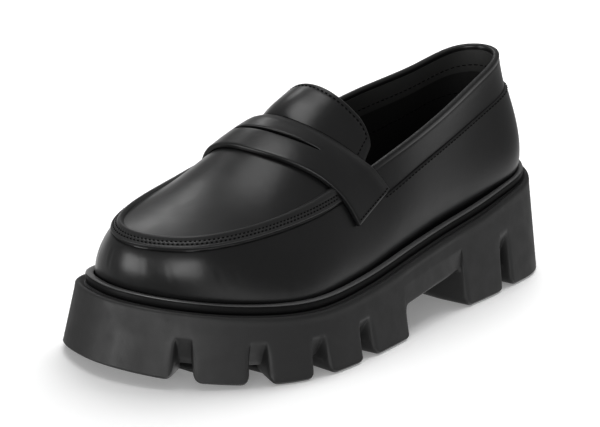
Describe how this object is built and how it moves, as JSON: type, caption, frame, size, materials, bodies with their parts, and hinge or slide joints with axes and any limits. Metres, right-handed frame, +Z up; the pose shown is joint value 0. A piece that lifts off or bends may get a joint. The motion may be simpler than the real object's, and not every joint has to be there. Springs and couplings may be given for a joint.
{
  "type": "platform penny loafer",
  "caption": "Black leather platform loafer for the left foot, with a moccasin toe, a slotted saddle strap, a rounded welt bead and a thick notched rubber sole.",
  "frame": {"origin": "centre of the bounding box in plan, on the floor that the sole stands on", "axes": "+X to the toe, +Y to the wearer's left, which is the outer side of this left shoe, +Z up"},
  "size_m": [0.2652, 0.1191, 0.1028],
  "materials": {
    "black_leather": "smooth black leather with a satin to high shine",
    "edge_leather": "folded and stitched black leather, satin",
    "lining": "matte black lining",
    "rubber": "matte moulded black rubber",
    "welt_rubber": "satin black bead"
  },
  "bodies": {
    "root": {"outsole": "rubber", "welt": "welt_rubber", "insole": "lining", "upper": "black_leather", "moc_seam": "edge_leather", "tongue": "black_leather", "strap": "black_leather"}
  },
  "joints": []
}
